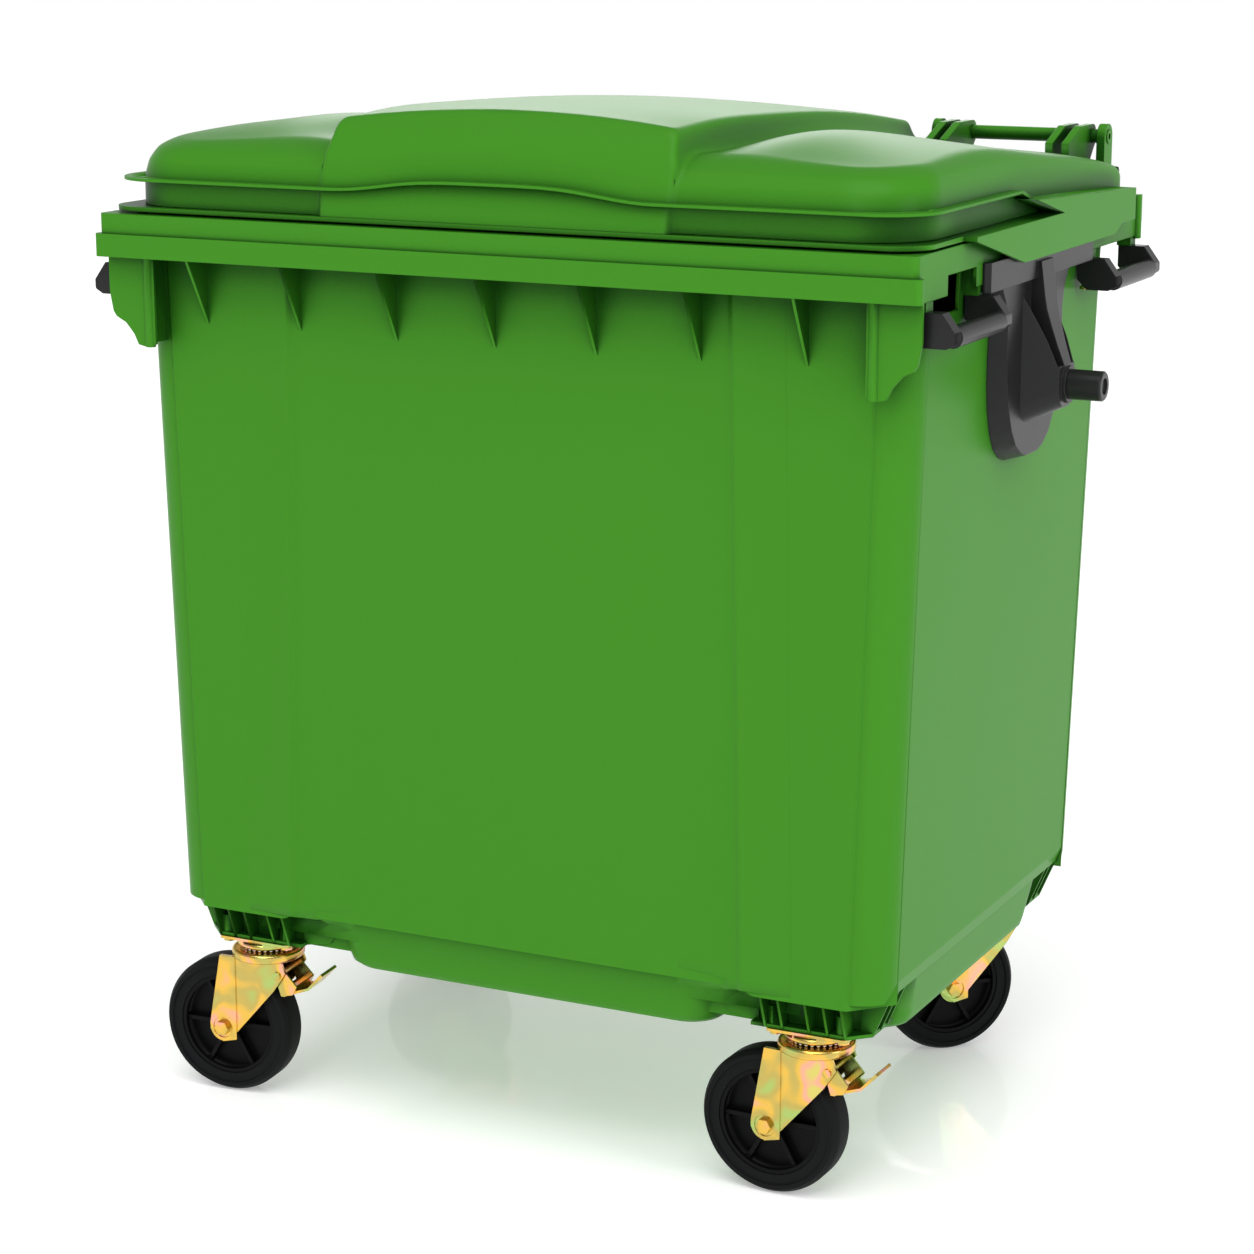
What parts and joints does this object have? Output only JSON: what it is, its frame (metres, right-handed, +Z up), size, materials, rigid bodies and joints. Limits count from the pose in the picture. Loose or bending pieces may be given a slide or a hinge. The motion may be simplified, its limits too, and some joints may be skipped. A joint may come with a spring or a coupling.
{
  "type": "four-wheeled waste container",
  "caption": "Green plastic waste container on swivel casters, with a domed hinged lid, comb rim, side grips, lift pins and brake pedals.",
  "frame": {"origin": "on the floor, midway between the two lift pins", "axes": "+X along the long side to the right as seen from the front, -Y to the front, +Z up"},
  "size_m": [1.37, 0.909, 1.4211],
  "materials": {
    "green_plastic": "satin moulded polyethylene",
    "black_plastic": "satin moulded",
    "wheel_plastic": "matt moulded",
    "tyre_rubber": "matt",
    "stop_rubber": "matt",
    "yellow_zinc": "yellow chromate on zinc, iridescent",
    "bolt_zinc": "yellow chromate on zinc"
  },
  "bodies": {
    "container": {"bracket_bolts": "bolt_zinc", "caster_bolts": "bolt_zinc", "container_body": "green_plastic", "drain_seal": "stop_rubber", "grip_front_left": "black_plastic", "grip_front_right": "black_plastic", "grip_rear_left": "black_plastic", "grip_rear_right": "black_plastic", "grip_screws": "bolt_zinc", "hinge_rod_left": "green_plastic", "hinge_rod_right": "green_plastic", "king_pin_front_left": "yellow_zinc", "king_pin_front_right": "yellow_zinc", "king_pin_rear_left": "yellow_zinc", "king_pin_rear_right": "yellow_zinc", "lift_bracket_left": "black_plastic", "lift_bracket_right": "black_plastic", "lift_pin_left": "black_plastic", "lift_pin_right": "black_plastic", "top_plate_front_left": "yellow_zinc", "top_plate_front_right": "yellow_zinc", "top_plate_rear_left": "yellow_zinc", "top_plate_rear_right": "yellow_zinc"},
    "lid": {"lid_shell": "green_plastic", "lid_stops": "stop_rubber"},
    "drain_plug": {"drain_plug": "black_plastic"},
    "fork_front_right": {"fork_front_right": "yellow_zinc", "axle_tube_front_right": "bolt_zinc", "axle_bolt_front_right": "bolt_zinc", "axle_nut_front_right": "bolt_zinc", "brake_pin_front_right": "bolt_zinc"},
    "wheel_front_right": {"wheel_rim_front_right": "wheel_plastic", "tyre_front_right": "tyre_rubber"},
    "pedal_front_right": {"brake_pedal_front_right": "yellow_zinc"},
    "fork_front_left": {"fork_front_left": "yellow_zinc", "axle_tube_front_left": "bolt_zinc", "axle_bolt_front_left": "bolt_zinc", "axle_nut_front_left": "bolt_zinc", "brake_pin_front_left": "bolt_zinc"},
    "wheel_front_left": {"wheel_rim_front_left": "wheel_plastic", "tyre_front_left": "tyre_rubber"},
    "pedal_front_left": {"brake_pedal_front_left": "yellow_zinc"},
    "fork_rear_right": {"fork_rear_right": "yellow_zinc", "axle_tube_rear_right": "bolt_zinc", "axle_bolt_rear_right": "bolt_zinc", "axle_nut_rear_right": "bolt_zinc"},
    "wheel_rear_right": {"wheel_rim_rear_right": "wheel_plastic", "tyre_rear_right": "tyre_rubber"},
    "fork_rear_left": {"fork_rear_left": "yellow_zinc", "axle_tube_rear_left": "bolt_zinc", "axle_bolt_rear_left": "bolt_zinc", "axle_nut_rear_left": "bolt_zinc"},
    "wheel_rear_left": {"wheel_rim_rear_left": "wheel_plastic", "tyre_rear_left": "tyre_rubber"}
  },
  "joints": [
    {"name": "lid_hinge", "type": "hinge", "parent": "container", "child": "lid", "pos_m": [0, 0.45, 1.346], "axis": [-1, 0, 0], "range_deg": [0, 250]},
    {"name": "drain_turn", "type": "hinge", "parent": "container", "child": "drain_plug", "pos_m": [0, -0.15, 0.212], "axis": [0, 0, 1], "range_deg": [0, 90]},
    {"name": "swivel_front_right", "type": "hinge", "parent": "container", "child": "fork_front_right", "pos_m": [0.425, -0.32, 0.22], "axis": [0, 0, 1], "continuous": true},
    {"name": "spin_front_right", "type": "hinge", "parent": "fork_front_right", "child": "wheel_front_right", "pos_m": [0.36702, -0.31848, 0.1], "axis": [0.0262, 0.9997, 0], "continuous": true},
    {"name": "pedal_front_right", "type": "hinge", "parent": "fork_front_right", "child": "pedal_front_right", "pos_m": [0.45499, -0.32079, 0.188], "axis": [0.0262, 0.9997, 0], "range_deg": [0, 12]},
    {"name": "swivel_front_left", "type": "hinge", "parent": "container", "child": "fork_front_left", "pos_m": [-0.425, -0.32, 0.22], "axis": [0, 0, 1], "continuous": true},
    {"name": "spin_front_left", "type": "hinge", "parent": "fork_front_left", "child": "wheel_front_left", "pos_m": [-0.48279, -0.32495, 0.1], "axis": [-0.0854, 0.9963, 0], "continuous": true},
    {"name": "pedal_front_left", "type": "hinge", "parent": "fork_front_left", "child": "pedal_front_left", "pos_m": [-0.39511, -0.31744, 0.188], "axis": [-0.0854, 0.9963, 0], "range_deg": [0, 12]},
    {"name": "swivel_rear_right", "type": "hinge", "parent": "container", "child": "fork_rear_right", "pos_m": [0.425, 0.32, 0.22], "axis": [0, 0, 1], "continuous": true},
    {"name": "spin_rear_right", "type": "hinge", "parent": "fork_rear_right", "child": "wheel_rear_right", "pos_m": [0.3819, 0.28119, 0.1], "axis": [-0.6691, 0.7431, 0], "continuous": true},
    {"name": "swivel_rear_left", "type": "hinge", "parent": "container", "child": "fork_rear_left", "pos_m": [-0.425, 0.32, 0.22], "axis": [0, 0, 1], "continuous": true},
    {"name": "spin_rear_left", "type": "hinge", "parent": "fork_rear_left", "child": "wheel_rear_left", "pos_m": [-0.47621, 0.29277, 0.1], "axis": [-0.4695, 0.8829, 0], "continuous": true}
  ]
}
